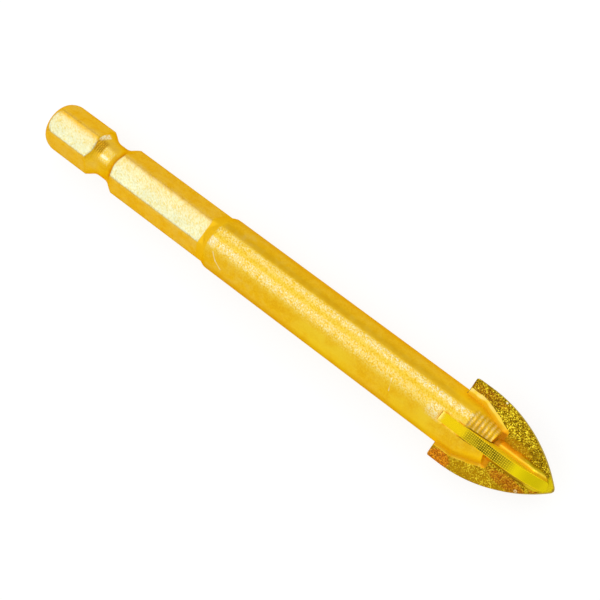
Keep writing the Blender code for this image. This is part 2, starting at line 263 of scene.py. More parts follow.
def turning_rings(x, pitch, depth, start, stop):
    """Lathe rings between two places: a sine along the bar plus a longer, weaker one. They
    come up and die away over one pitch at either end."""
    inside = np.clip((x - start) / pitch, 0, 1) * np.clip((stop - x) / pitch, 0, 1)
    longer = 1.73 * pitch
    wave = np.sin(2 * np.pi * x / pitch) + 0.6 * np.sin(2 * np.pi * x / longer + 1.1)
    return depth * inside * wave


def shank_radius(x):
    """Turned outline of the shank: a quarter round at its end, then the broken corners'
    radius, less a groove of two arcs with a short flat floor between them."""
    depth = HEX_CORNER - END_FACE_RADIUS
    reach = END_ROUNDING * math.sqrt(1 - (1 - depth / END_ROUNDING) ** 2)
    back = np.clip(reach - x, 0, None)
    end = HEX_CORNER - END_ROUNDING + np.sqrt(END_ROUNDING ** 2 - back ** 2)
    off = np.clip(np.abs(x - GROOVE_CENTRE) - GROOVE_FLOOR / 2, 0, 0.99 * GROOVE_RADIUS)
    groove = GROOVE_NECK + GROOVE_RADIUS - np.sqrt(GROOVE_RADIUS ** 2 - off ** 2)
    first = GROOVE_CENTRE - GROOVE_RINGS_BEFORE
    last = GROOVE_CENTRE + GROOVE_RINGS_AFTER
    groove += turning_rings(x, GROOVE_PITCH, GROOVE_RING_DEPTH, first, last)
    return np.where(off < 0.95 * GROOVE_RADIUS, np.minimum(end, groove), end)


def barrel_radius(x):
    """Outline of the round body: a cone up to its full radius, a straight run, a straight
    taper to the cheeks' ends and a small quarter round there."""
    cone = BODY_RADIUS + (x - SHANK_LENGTH) * CONE_SLOPE
    full = rounded_least(cone, np.full_like(x, BODY_RADIUS), CONE_ROUNDING)
    share = (x - TAPER_START) / (BODY_LENGTH - TAPER_START)
    taper = BODY_RADIUS + (CHEEK_END_RADIUS - BODY_RADIUS) * share
    taper += turning_rings(x, TAPER_PITCH, TAPER_RING_DEPTH, TAPER_START, BODY_LENGTH - 0.4)
    into = np.clip(x - (BODY_LENGTH - CHEEK_EDGE), 0, CHEEK_EDGE)
    taper -= CHEEK_EDGE - np.sqrt(CHEEK_EDGE ** 2 - into ** 2)
    return rounded_least(full, taper, TAPER_ROUNDING)


def hex_radius(angle):
    """Distance from the axis to a flat: half the across-flats over the cosine of the angle
    from the middle of the nearest flat. A flat faces straight up."""
    third = np.pi / 3
    off = (angle - np.pi / 2 + third / 2) % third - third / 2
    return HEX_FLAT / np.cos(off)


def stations(*stretches):
    """Places along the axis from (start, stop, step) stretches, each without its stop."""
    return np.concatenate([np.arange(start, stop - step / 2, step) for start, stop, step in stretches])


def skin(name, rings):
    """A closed mesh over rings of points given in mm as (ring, point, axis): every cell
    between two rings is a face, and the first and the last ring are closed by one each."""
    rows, columns = rings.shape[:2]
    index = np.arange(rows * columns).reshape(rows, columns)
    following = np.roll(index, -1, axis=1)
    cells = np.stack([index[:-1], following[:-1], following[1:], index[1:]], axis=-1)
    faces = cells.reshape(-1, 4).tolist() + [index[0].tolist(), index[-1].tolist()]
    mesh = bpy.data.meshes.new(name)
    mesh.from_pydata((rings.reshape(-1, 3) * MM).tolist(), [], faces)
    form = bmesh.new()
    form.from_mesh(mesh)
    bmesh.ops.recalc_face_normals(form, faces=form.faces)
    form.to_mesh(mesh)
    form.free()
    piece = bpy.data.objects.new(name, mesh)
    bpy.context.scene.collection.objects.link(piece)
    return piece


SHARP_ANGLE = math.radians(32.0)


def seat(piece, material, slot, *nodes):
    """Give a finished piece its material, its smooth shading and its place on the bit."""
    piece.data.materials.clear()
    piece.data.materials.append(material)
    piece.data.shade_smooth()
    piece.data.set_sharp_from_angle(angle=SHARP_ANGLE)
    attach(piece, "root")
    if nodes:
        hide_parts(*nodes)


END_RUN = 1.6
CONE_RUN = (27.8, 31.2)
TAPER_RUN = 71.9
FLAT_POINTS = 16
CORNER_POINTS = 5
END_RINGS = 9


def bar_rings():
    """Rings of the bar: at each place the radius is the larger of hex shank and barrel, as
    r(x, a) = max(min(hex(a), shank(x)), barrel(x)), in polar form about the axis. The two
    flat ends are rings that shrink towards the axis. Where the outline bends, in groove,
    cone and taper, the rings lie close together."""
    groove = (GROOVE_CENTRE - GROOVE_REACH, GROOVE_CENTRE + GROOVE_REACH)
    x = stations(
        (0.0, END_RUN, 0.1), (END_RUN, groove[0], 0.35), (*groove, 0.045), (groove[1], CONE_RUN[0], 0.5),
        (*CONE_RUN, 0.07), (CONE_RUN[1], TAPER_RUN, 0.6), (TAPER_RUN, BODY_LENGTH + 0.01, 0.06),
    )
    x = np.append(x[x < BODY_LENGTH - 0.01], BODY_LENGTH)
    broken = math.acos(HEX_FLAT / HEX_CORNER)
    over_flat = np.linspace(-broken, broken, FLAT_POINTS)
    over_corner = np.linspace(broken, np.pi / 3 - broken, CORNER_POINTS)[1:-1]
    sector = np.append(over_flat, over_corner)
    angle = (np.pi / 6 + np.arange(6)[:, None] * np.pi / 3 + sector[None, :]).ravel()
    bar = rounded_least(hex_radius(angle)[None, :], shank_radius(x)[:, None], HEX_ROUNDING)
    bar = np.where(x[:, None] < SHANK_LENGTH + 0.5, bar, 0.0)
    barrel = np.broadcast_to(barrel_radius(x)[:, None], bar.shape)
    radius = -rounded_least(-bar, -barrel, SHOULDER_ROUNDING)
    shrink = np.linspace(0.06, 0.97, END_RINGS)[:, None]
    radius = np.concatenate([shrink * radius[0], radius, shrink[::-1] * radius[-1]])
    x = np.concatenate([np.zeros(END_RINGS), x, np.full(END_RINGS, BODY_LENGTH)])
    along = np.broadcast_to(x[:, None], radius.shape)
    return np.stack([along, radius * np.cos(angle), radius * np.sin(angle)], axis=-1)


# The head is turned about the axis. Its own directions are across, along the main plate,
# out, square to that plate, and along, which is the bit's axis.
HEAD_TURN = math.radians(12.5)


def from_head(across, out, along):
    """Points of the head in the bit's frame: across and out turned about the axis."""
    across, out, along = np.broadcast_arrays(across, out, along)
    y = across * math.cos(HEAD_TURN) - out * math.sin(HEAD_TURN)
    z = across * math.sin(HEAD_TURN) + out * math.cos(HEAD_TURN)
    return np.stack([along, y, z], axis=-1)


SLOT_REACH = 5.5
MAIN_FACE = 1.0
SIDE_FACE = 0.7
BRAZE_GAP = 0.15
MAIN_BACK = 69.5
SIDE_BACK = 68.7
SIDE_CORNER = 0.35
BEYOND_END = BODY_LENGTH + 2


def cut(piece, cutter):
    """Take a closed block away from a piece, and remove the block."""
    step = piece.modifiers.new("cut", "BOOLEAN")
    step.operation = "DIFFERENCE"
    step.solver = "EXACT"
    step.object = cutter
    bpy.context.view_layer.update()
    graph = bpy.context.evaluated_depsgraph_get()
    cleared = bpy.data.meshes.new_from_object(piece.evaluated_get(graph))
    piece.modifiers.clear()
    piece.data = cleared
    bpy.data.objects.remove(cutter)


def sawn_block(out, along):
    """A block with an outline in out and along that runs right across the head."""
    ends = np.array([-SLOT_REACH, SLOT_REACH])[:, None]
    return skin("sawn", from_head(ends, np.array(out)[None, :], np.array(along)[None, :]))


def milled_block():
    """The cross slot's block: straight sides with a quarter round at each bottom corner."""
    half = SIDE_FACE + BRAZE_GAP
    bottom = SIDE_BACK - BRAZE_GAP
    quarter = np.linspace(0, np.pi / 2, 7)
    across = half - SIDE_CORNER + SIDE_CORNER * np.sin(quarter)
    along = bottom + SIDE_CORNER - SIDE_CORNER * np.cos(quarter)
    across = np.concatenate([across, [half], [-half], -across[::-1]])
    along = np.concatenate([along, [BEYOND_END], [BEYOND_END], along[::-1]])
    ends = np.array([-SLOT_REACH, SLOT_REACH])[:, None]
    return skin("milled", from_head(across[None, :], ends, along[None, :]))


# The bar is sawn and milled: a slot right through for the main plate, a cross slot for the
# side plates, and the cheeks' ends cut back so that they lean.
body = skin("steel_body", bar_rings())
slot_half = MAIN_FACE + BRAZE_GAP
slot_bottom = MAIN_BACK - BRAZE_GAP
slot_heights = [-slot_half, slot_half, slot_half, -slot_half]
cut(body, sawn_block(slot_heights, [slot_bottom, slot_bottom, BEYOND_END, BEYOND_END]))
cut(body, milled_block())
cheek_edge = BODY_LENGTH - (SLOT_REACH - MAIN_FACE) * CHEEK_END_LEAN
for side in (1, -1):
    heights = [side * MAIN_FACE, side * SLOT_REACH, side * SLOT_REACH, side * MAIN_FACE]
    cut(body, sawn_block(heights, [BODY_LENGTH, cheek_edge, BEYOND_END, BEYOND_END]))


METRE = 1000.0
COAT_ROUGHNESS = 0.15


def metal(name, coat, rim):
    """A bare metal finish, its shader, and the reading that its own nodes start from. The
    rim is the colour that the metal takes where it is seen along its surface."""
    made = bpy.data.materials.new(name)
    made.use_nodes = True
    surface = made.node_tree.nodes["Principled BSDF"]
    surface.inputs["Metallic"].default_value = 1.0
    surface.inputs["Specular Tint"].default_value = rim
    surface.inputs["Coat Weight"].default_value = coat
    surface.inputs["Coat Roughness"].default_value = COAT_ROUGHNESS
    return made, surface, Reading(made.node_tree, None)


def blend(factor, low, high):
    """One colour going over to another."""
    return factor.node(
        "ShaderNodeMix", {"data_type": "RGBA"}, {"Factor": factor, 6: low, 7: high}, output=2,
    )


def grain(place, pitch, detail=2.0):
    """Noise from 0 to 1 whose lumps are about a pitch, in mm, across."""
    sockets = {"Vector": place, "Scale": METRE / pitch, "Detail": detail}
    return place.node("ShaderNodeTexNoise", sockets=sockets)


def brushed(place, turn, stretch):
    """The same places drawn out this many times along a line turned from the bit's axis."""
    turned = (0.0, 0.0, math.radians(turn))
    sockets = {"Vector": place, "Rotation": turned, "Scale": (stretch, 1.0, 1.0)}
    return place.node("ShaderNodeMapping", {"vector_type": "TEXTURE"}, sockets)


def ripple(place, pitch, shift=None):
    """A sine from -1 to 1 of a pitch in mm along a place, moved on by a shift."""
    turns = place * (2 * math.pi / pitch)
    if shift is not None:
        turns = turns + shift
    return place.maths("SINE", turns)


def ridges(place, pitch):
    """Ridges of a pitch in mm along a place: a sine from 0 to 1."""
    return ripple(place, pitch) * 0.5 + 0.5


def relief(surface, height, depth):
    """Let a height of 0 to 1 stand this deep, in mm, in the surface's bump."""
    bump = height.node("ShaderNodeBump", sockets={"Height": height, "Distance": depth * MM})
    height.tree.links.new(bump.socket, surface.inputs["Normal"])


def tint(surface, colour, roughness):
    """Link a colour and a roughness to a surface."""
    colour.tree.links.new(colour.socket, surface.inputs["Base Color"])
    colour.tree.links.new(roughness.socket, surface.inputs["Roughness"])


def scratch(place, start, end, width):
    """1 on a straight scratch from start to end and 0 off it. Places and width in mm: the
    distance is that to the nearest point of the segment, |p - a - d clamp((p - a).d / d.d)|."""
    run = Vector(end) - Vector(start)
    off = place.node("ShaderNodeVectorMath", {"operation": "SUBTRACT"}, {0: place, 1: start})
    along = off.node("ShaderNodeVectorMath", {"operation": "DOT_PRODUCT"}, {0: off, 1: run}, output=1)
    share = along.node("ShaderNodeClamp", sockets={0: along / run.length_squared})
    reach = place.node(
        "ShaderNodeVectorMath", {"operation": "SCALE"}, {0: tuple(run), "Scale": share},
    )
    gap = off.node("ShaderNodeVectorMath", {"operation": "DISTANCE"}, {0: off, 1: reach}, output=1)
    return gap.rise(width, 0.3 * width)


def spots(**readings):
    """A function that marks a spot by places in mm for some of these readings: 1 inside all
    of them and 0 outside. Two places are where it starts and is full, and four are those,
    where it begins to fade and where it ends."""
    def spot(**limits):
        mask = None
        for name, places in limits.items():
            reading = readings[name]
            edge = reading.rise(*places) if len(places) == 2 else reading.between(*places)
            mask = mask * edge if mask else edge
        return mask

    return spot


def head_place(start):
    """Object coordinates turned into the head, and then along, across and out in mm."""
    place = start.node("ShaderNodeTexCoord", output="Object")
    turned = {"Vector": place, "Rotation": (-HEAD_TURN, 0.0, 0.0)}
    place = place.node("ShaderNodeMapping", sockets=turned)
    return [place] + [part * METRE for part in place.parts()]


GOLD_DEEP = (0.79, 0.42, 0.009, 1.0)
GOLD_LIGHT = (0.89, 0.55, 0.016, 1.0)
GOLD_YELLOW = (0.88, 0.62, 0.030, 1.0)
GOLD_PALE = (0.91, 0.83, 0.53, 1.0)
GOLD_TAN = (0.76, 0.50, 0.11, 1.0)
PAINTED_REFLECTION_GOLD = (1.0, 0.60, 0.008, 1.0)
GOLD_RIM = (0.9, 0.58, 0.10, 1.0)
FLAT_HIGHLIGHT_GREY = (0.58, 0.66, 0.44, 1.0)
DARK_BROWN = (0.34, 0.14, 0.006, 1.0)
BLAST_DEPTH = 0.036
coated_steel, steel_surface, start = metal("coated_steel", 0.0, GOLD_RIM)
place = start.node("ShaderNodeTexCoord", output="Object")
in_mm = place.node("ShaderNodeVectorMath", {"operation": "SCALE"}, {0: place, "Scale": METRE})
x, y, z = in_mm.parts()
out = abs(head_place(start)[3])
fine = grain(brushed(place, -45.0, 2.0), 0.17)
lumps = grain(place, 0.23, 3.0)
coarse = grain(place, 0.9)
clouds = grain(place, 3.0)

# Places are in mm: x along the bar, y across it, z up, and out off the main plate.
# Painted highlights: two pale bands of flecks along the round body, and a pale spot by the cone.
spot = spots(x=x, y=y, z=z, out=out, wide=abs(y), high=abs(z))
top = spot(y=(-2.0, -0.8, 1.6, 2.1), high=(3.2, 3.5), x=(72.4, 71.8))
low_painted_highlight = spot(y=(-1.5, -0.5, -0.1, 0.4), x=(95.0, 25.0))
high_painted_highlight = spot(y=(0.6, 1.15, 1.5, 1.9)) * (0.45 + 0.55 * spot(x=(35.0, 70.0)))
painted_body_highlights = top * (0.1 + low_painted_highlight * 0.6 + high_painted_highlight * 0.7) * (0.3 + 1.1 * lumps.rise(0.38, 0.62))
painted_body_highlights = painted_body_highlights + top * spot(x=(31.8, 30.9), y=(-1.3, -0.9, -0.1, 0.3)) * 0.5

# The shank's upper flat is pale too, a painted highlight, and a little narrower at its end, beyond the
# groove.
FLAT_EDGE = (1.85, 1.1)
END_FLAT_LOSS = 0.35
flat_edge = (y + spot(x=(9.0, 8.0)) * END_FLAT_LOSS).rise(*FLAT_EDGE)
painted_flat_highlight = spot(high=(3.08, 3.15), x=(29.0, 28.8)) * flat_edge
painted_flat_highlight = painted_flat_highlight * (0.56 + 0.42 * spot(y=(1.2, -1.2)))
on_sides = spot(x=(28.9, 28.6)) * (1.0 - spot(x=(7.6, 8.0, 12.6, 13.0))) * 0.1

# A painted highlight lies in a short band on the groove's floor, crossed by the marks of the tool.
TOOL_PITCH = 0.36
painted_groove_highlight = spot(high=(2.0, 2.5), x=(9.3, 9.6, 11.1, 11.4), y=(-1.2, -0.5, 0.9, 1.6))
tooling = ripple(x, TOOL_PITCH) * ripple(y, TOOL_PITCH)
painted_highlight_and_fleck_cover = painted_body_highlights + painted_flat_highlight + on_sides + painted_groove_highlight * (0.12 + tooling.rise(-0.4, 0.5) * 0.36)
# Pale flecks gather where the painted highlights lie, and faintly on the hex's sides.
flecks_and_painted_highlights = (fine * 0.7 + coarse * 0.3).rise(0.32, 0.60) * painted_highlight_and_fleck_cover

# The lathe's rings show dark on the upper side of the taper and of the groove's wall.
TICK_PITCH = 0.26
turned = ridges(x, TAPER_PITCH)
lathe = ridges(x, GROOVE_PITCH)
ticks = ridges(y, TICK_PITCH)
cheek_rings = spot(x=(71.9, 72.2), high=(1.4, 2.4), y=(-0.5, 0.3, 2.1, 2.6))
groove_rings = spot(x=(7.9, 8.2, 9.2, 9.7), high=(1.4, 2.4), y=(-0.5, 0.3, 1.5, 2.0))

# The gold goes from deep to light in its grain. It is browner on the hex and by the cone.
# Painted light makes it yellower in two stretches of the near side, and painted highlights
# make it yellower on the flat, along the top and in the groove.
mottle = clouds.rise(0.35, 0.65) * 0.3 + coarse.rise(0.4, 0.6) * 0.3 + lumps.rise(0.4, 0.6) * 0.45
gold = blend(mottle, GOLD_DEEP, GOLD_LIGHT)
on_hex = spot(x=(31.4, 30.4))
haze = (coarse * 0.5 + clouds * 0.5).rise(0.42, 0.7) * (0.15 + 0.4 * spot(x=(46.0, 31.0)))
haze = haze + spot(wide=(2.7, 3.5)) * 0.25
gold = blend(haze * on_hex.rise(1.0, 0.0) + on_hex * clouds.rise(0.42, 0.75) * 0.4, gold, GOLD_TAN)
# Painted light: two stretches of the near side are yellower.
painted_light_stretches = (spot(x=(44.0, 49.0, 54.0, 58.0)) + spot(x=(59.0, 64.0, 67.5, 70.5))) * spot(y=(-1.2, -1.9))
gold = blend(painted_light_stretches * clouds.rise(0.25, 0.6) * 0.7, gold, GOLD_YELLOW)
gold = blend(painted_flat_highlight * 0.75, gold, GOLD_YELLOW)
# A painted highlight along the top and in the groove turns the gold yellower.
painted_shine = (top + painted_groove_highlight) * (0.3 + fine.rise(0.35, 0.65) * 0.35 + lumps * 0.35)
gold = blend(painted_shine, gold, GOLD_YELLOW)
pits = lumps.rise(0.49, 0.36) * fine.rise(0.62, 0.42) * top
gold = blend(pits * 0.75, gold, GOLD_DEEP)
on_cone = spot(x=(28.8, 28.95, 30.2, 30.5))
gold = blend(on_cone, gold, GOLD_LIGHT)

# It is darker along the far edge of the top and down both sides, both painted shade, and on
# the hex's corners and on the lathe's rings. Near the plates it is warmer, a painted reflection.
painted_shade_far_edge = spot(y=(1.86, 2.0, 2.3, 2.75), x=(30.6, 31.0, 71.0, 72.0), z=(0.0, 1.0))
gold = blend(painted_shade_far_edge * (0.03 + 0.14 * lumps.rise(0.4, 0.6)), gold, DARK_BROWN)
# Painted shade down both sides.
sides = spot(y=(1.7, 2.1), x=(66.0, 64.0)) * 0.05 + spot(y=(-3.1, -3.7)) * 0.12
gold = blend(sides, gold, DARK_BROWN)
corners = spot(wide=(1.58, 1.64, 1.74, 1.82), high=(2.8, 2.9), x=(0.6, 0.9, 28.7, 28.9))
gold = blend(corners * 0.3, gold, DARK_BROWN)
# Painted reflection: the plates make the steel near them a warmer gold.
painted_plate_reflection = spot(x=(67.5, 70.0), out=(3.2, 1.8)) + spot(x=(75.3, 76.0)) * 0.6
gold = blend(painted_plate_reflection.at_most_one(), gold, PAINTED_REFLECTION_GOLD)
gold = blend(cheek_rings * (turned * (0.05 + fine * 0.5) + ticks * fine * 0.35), gold, DARK_BROWN)
gold = blend(groove_rings * (0.25 + 0.25 * lathe + 0.25 * tooling.rise(-0.5, 0.5)), gold, DARK_BROWN)

# Last come the pale marks on top: flecks between the rings, scratches as (start, end,
# width), painted glints on the groove's wall and floor, and wear behind the side plate.
SCRATCHES = (
    ((31.7, -1.56, 3.57), (32.5, -2.35, 3.11), 0.12),
    ((32.5, -2.35, 3.11), (33.6, -2.87, 2.64), 0.12),
    ((61.2, -0.74, 3.83), (61.65, -2.23, 3.2), 0.11),
)
PAINTED_WALL_GLINT = ((8.1, 1.8, 2.85), (8.45, 2.5, 1.7), 0.55)
PAINTED_FLOOR_GLINT = ((9.75, -0.15, 2.6), (10.6, -0.15, 2.6), 0.3)
flecks_and_painted_highlights = flecks_and_painted_highlights + cheek_rings * (1.0 - turned) * fine.rise(0.35, 0.65) * 0.35
for begin, end, width in SCRATCHES:
    flecks_and_painted_highlights = flecks_and_painted_highlights + scratch(in_mm, begin, end, width) * 0.5
speckle = lumps.rise(0.35, 0.6)
painted_wall_glint = scratch(in_mm, *PAINTED_WALL_GLINT) * spot(x=(8.0, 8.1)) * (0.2 + 0.7 * speckle)
flecks_and_painted_highlights = flecks_and_painted_highlights + painted_wall_glint + scratch(in_mm, *PAINTED_FLOOR_GLINT) * 0.8
worn = spot(x=(66.4, 67.6, 68.7, 69.2), y=(-2.0, -1.3, -0.1, 0.3), z=(0.0, 0.1))
flecks_and_painted_highlights = flecks_and_painted_highlights + worn * speckle * 0.5
gold = blend(flecks_and_painted_highlights.at_most_one() * (1.0 - on_cone), gold, GOLD_PALE)
# The upper flat's painted highlight also takes a grey tint.
gold = blend(painted_flat_highlight * 0.5, gold, FLAT_HIGHLIGHT_GREY)

# The cone and the steel by the plates are duller than the rest.
dull = spot(x=(67.5, 70.0), out=(2.6, 1.6))
tint(steel_surface, gold, 0.30 + 0.14 * clouds + 0.2 * on_cone + 0.3 * dull)
blasted = fine * (0.4 + painted_highlight_and_fleck_cover) + lumps * (0.45 + top * 0.5)
relief(steel_surface, blasted + turned * cheek_rings + lathe * groove_rings, BLAST_DEPTH)
seat(body, coated_steel, "coated_steel", "bit_body")

# The main plate is a flat spear of ground carbide as wide as the hole, brazed into the slot
# through the whole body. Its two long edges are arcs that meet in a short chisel edge, and
# the trailing edge of each is relieved.
BIT_LENGTH = 85.0
MAIN_HALF = 6.0
MAIN_ARC = 18.9
MAIN_RELIEF = 0.3
MAIN_CORNER = 0.18
EDGE_ROUNDING = 0.06
TIP_BLUNT = 0.45
ARC_POINTS = 70
BACK_POINTS = 30
FACE_RINGS = 12
BEND_RINGS = 5


def paired(one, other):
    """Two rows of numbers as (point, axis). A number alone counts for its whole row."""
    return np.stack(np.broadcast_arrays(one, other), axis=-1)


def plate_rings(near, far, half, rounding):
    """Rings over a flat plate with two unlike faces: they grow from the middle of the near
    face to its rounded edge, cross the edge in straight lines and shrink on the far face.
    near and far are the faces' outlines as (point, axis), and half is half the thickness.
    The result is (ring, point) of outline width, outline height and thickness."""
    def inward(outline):
        step = np.roll(outline, -1, axis=0) - np.roll(outline, 1, axis=0)
        normal = paired(-step[:, 1], step[:, 0])
        normal /= np.linalg.norm(normal, axis=1, keepdims=True)
        centre = outline.mean(axis=0)
        return normal * np.sign(np.sum(normal * (centre - outline), axis=1, keepdims=True))

    def face(outline):
        bend = np.linspace(0, np.pi / 2, BEND_RINGS)[:, None, None]
        edge = outline + inward(outline) * rounding * (1 - np.sin(bend))
        level = half - rounding * (1 - np.cos(bend))
        level = np.broadcast_to(level, (BEND_RINGS, len(outline), 1))
        centre = outline.mean(axis=0)
        grow = np.linspace(0.04, 1.0, FACE_RINGS)[:-1, None, None]
        flat = centre + (edge[0] - centre) * grow
        flat_level = np.full((len(flat), len(outline), 1), half)
        flat = np.concatenate([flat, flat_level], axis=-1)
        return np.concatenate([flat, np.concatenate([edge, level], axis=-1)])

    front = face(near)
    back = face(far) * np.array([1.0, 1.0, -1.0])
    share = np.linspace(0, 1, 7)[1:-1, None, None]
    side = front[-1] + (back[-1] - front[-1]) * share
    return np.concatenate([front, side, back[::-1]])


def spear_outlines():
    """The main plate's two outlines as (across, along): arcs whose centres lie beyond the
    axis. One edge of each face is full and the other is set in by the relief, and the
    full arc of one edge meets the relieved arc of the other a little off the axis."""
    sink = MAIN_ARC - MAIN_HALF
    relieved = MAIN_ARC - MAIN_RELIEF
    apex = (MAIN_ARC ** 2 - relieved ** 2) / (4 * sink)
    tangent = BIT_LENGTH - math.sqrt(MAIN_ARC ** 2 - (sink + apex) ** 2)

    def edge(radius, apex_height):
        turn = np.linspace(0, math.acos(apex_height / radius), ARC_POINTS)
        straight = np.linspace(MAIN_BACK + MAIN_CORNER, tangent, 6)[:-1]
        sides = np.full_like(straight, radius - sink)
        across = np.concatenate([sides, radius * np.cos(turn) - sink])
        along = np.concatenate([straight, tangent + radius * np.sin(turn)])
        return paired(across, along)

    full = edge(MAIN_ARC, sink + apex)
    inset = edge(relieved, sink - apex)
    mirror = np.array([-1.0, 1.0])

    def blunt(rising, falling, apex):
        """Two edges that meet in a point, with the point taken off by the curve
        (1 - t)^2 a + 2 t (1 - t) apex + t^2 b between the points a and b on them."""
        rising = rising[np.linalg.norm(rising - apex, axis=1) > TIP_BLUNT]
        falling = falling[np.linalg.norm(falling - apex, axis=1) > TIP_BLUNT]
        t = np.linspace(0, 1, 9)[1:-1, None]
        curve = (1 - t) ** 2 * rising[-1] + 2 * t * (1 - t) * apex + t ** 2 * falling[0]
        return np.concatenate([rising, curve, falling])

    def close(right, left, apex_across):
        """A whole outline: up one edge, over the point, down the other and along the back."""
        ends = (MAIN_CORNER - left[0, 0], right[0, 0] - MAIN_CORNER)
        back = paired(np.linspace(*ends, BACK_POINTS), MAIN_BACK)
        apex = np.array([apex_across, BIT_LENGTH])
        return np.concatenate([blunt(right[:-1], (left[:-1] * mirror)[::-1], apex), back])

    return close(full, inset, apex), close(inset, full, -apex)


front, back = spear_outlines()
spear = plate_rings(front, back, MAIN_FACE, EDGE_ROUNDING)
main_plate = skin("main_plate", from_head(spear[..., 0], spear[..., 2], spear[..., 1]))

OLIVE_DARK = (0.14, 0.075, 0.001, 1.0)
OLIVE = (0.43, 0.255, 0.002, 1.0)
OLIVE_RIM = (0.5, 0.38, 0.02, 1.0)
FLECK = (1.0, 0.79, 0.035, 1.0)
WHITE_FLECK = (1.0, 0.95, 0.6, 1.0)
RUST = (0.56, 0.19, 0.006, 1.0)
RUST_DARK = (0.34, 0.09, 0.004, 1.0)
RUST_RED = (0.88, 0.24, 0.008, 1.0)
EARTH = (0.46, 0.24, 0.002, 1.0)
TIP_GREEN = (0.72, 0.55, 0.003, 1.0)


def chips(place, pitch):
    """Broken cells about a pitch, in mm, across: each cell's own value and its cone."""
    sockets = {"Vector": place, "Scale": METRE / pitch}
    cone = place.node("ShaderNodeTexVoronoi", sockets=sockets)
    colour = Reading(place.tree, cone.socket.node.outputs["Color"])
    return colour.parts()[0], cone


def patch(along, across, middle, reach):
    """1 round a place on the plate and 0 outside it, with soft edges. Sizes in mm."""
    along_share = abs(along - middle[0]) / reach[0]
    across_share = abs(across - middle[1]) / reach[1]
    return (along_share * along_share + across_share * across_share).rise(1.3, 0.5)


def patches(along, across, places):
    """Patches added up, each of them times its weight: places hold (middle, reach, weight)."""
    total = 0.0
    for middle, reach, weight in places:
        total = patch(along, across, middle, reach) * weight + total
    return total


CHIP_PITCH = 0.115
CHIP_DEPTH = 0.02
THIN_COAT = 0.05

# Places on the plate are (along, across) in mm, first a patch's middle and then its reach.
BESIDE_BEAD = ((78.2, 1.9), (2.4, 0.7))
BACK_CORNER = ((71.0, -5.2), (1.6, 1.1))
RUSTY = (
    ((79.8, -2.5), (3.0, 0.85), 1.0),
    (*BACK_CORNER, 1.3),
    ((72.0, 5.0), (3.0, 0.7), 0.55),
    ((83.2, -1.5), (0.8, 0.4), 1.0),
)
CHIPPED_WHITE = (
    ((74.3, 5.6), (0.16, 0.13), 1.0),
    ((81.2, -2.65), (0.24, 0.2), 0.5),
    ((81.2, -2.65), (0.1, 0.08), -0.5),
)
GRINDING_PITCH = 0.2

coated_carbide, carbide_surface, start = metal("coated_carbide", THIN_COAT, OLIVE_RIM)
place, along, across, out = head_place(start)
spot = spots(along=along, across=across, out=out, off=abs(out))
cell, cone = chips(place, CHIP_PITCH)
clouds = grain(place, 1.6)
mood = cell * 0.75 + clouds * 0.5 - 0.12
colour = blend(mood.rise(0.15, 0.6), OLIVE_DARK, OLIVE)
by_bead = patch(along, across, *BESIDE_BEAD)
colour = blend((spot(across=(-1.0, -4.0)) * 0.85 + by_bead).at_most_one(), colour, EARTH)
rust = (patches(along, across, RUSTY) * clouds.rise(0.15, 0.5)).at_most_one()
colour = blend(rust * 0.85, colour, blend(mood.rise(0.2, 0.7), RUST_DARK, RUST))
red = patch(along, across, *BACK_CORNER) * mood.rise(0.25, 0.75)
colour = blend(red * 0.65, colour, RUST_RED)
fleck_share = (1.0 - 0.6 * rust) * (1.0 - 0.6 * by_bead) * (0.6 + 0.4 * spot(across=(-3.0, 1.0)))
colour = blend(mood.rise(0.63, 0.86) * fleck_share, colour, FLECK)
colour = blend(spot(along=(83.3, 84.0)) * 0.85, colour, TIP_GREEN)
chipped = patches(along, across, CHIPPED_WHITE)
colour = blend(chipped * spot(out=(0.9, 0.98)) * 0.8, colour, WHITE_FLECK)
edge = spot(off=(0.98, 0.9))
grinding = ridges(along + abs(across) * 0.8, GRINDING_PITCH)
colour = blend(edge * (0.6 + 0.3 * grinding), colour, TIP_GREEN)
# A painted dark reflection darkens the very tip.
colour = blend(spot(along=(84.66, 84.85)) * 0.85, colour, OLIVE_DARK)
tint(carbide_surface, colour, 0.5 - 0.2 * cell)
rough = (cell - cone * 1.5 + clouds) * spot(along=(84.0, 83.0)) * (1.0 - edge)
relief(carbide_surface, rough + grinding * edge * 0.4, CHIP_DEPTH)
seat(main_plate, coated_carbide, "coated_carbide", "main_carbide_plate")

# Two side plates of carbide stand on the main plate's faces at right angles to it, one in
# front and one behind. They lie in the cross slot, just below the cheeks, and run to the
# tip in an arc. Their edges are ground across, so they are smoother than the faces.
SIDE_ARC = 8.8
SIDE_RELIEF = 0.15
SIDE_TIP_SETBACK = 0.9
SIDE_RECESS = 0.03
SIDE_ROUNDING = 0.2
SIDE_POINT = 0.3
SIDE_POINT_LOSS = 0.35


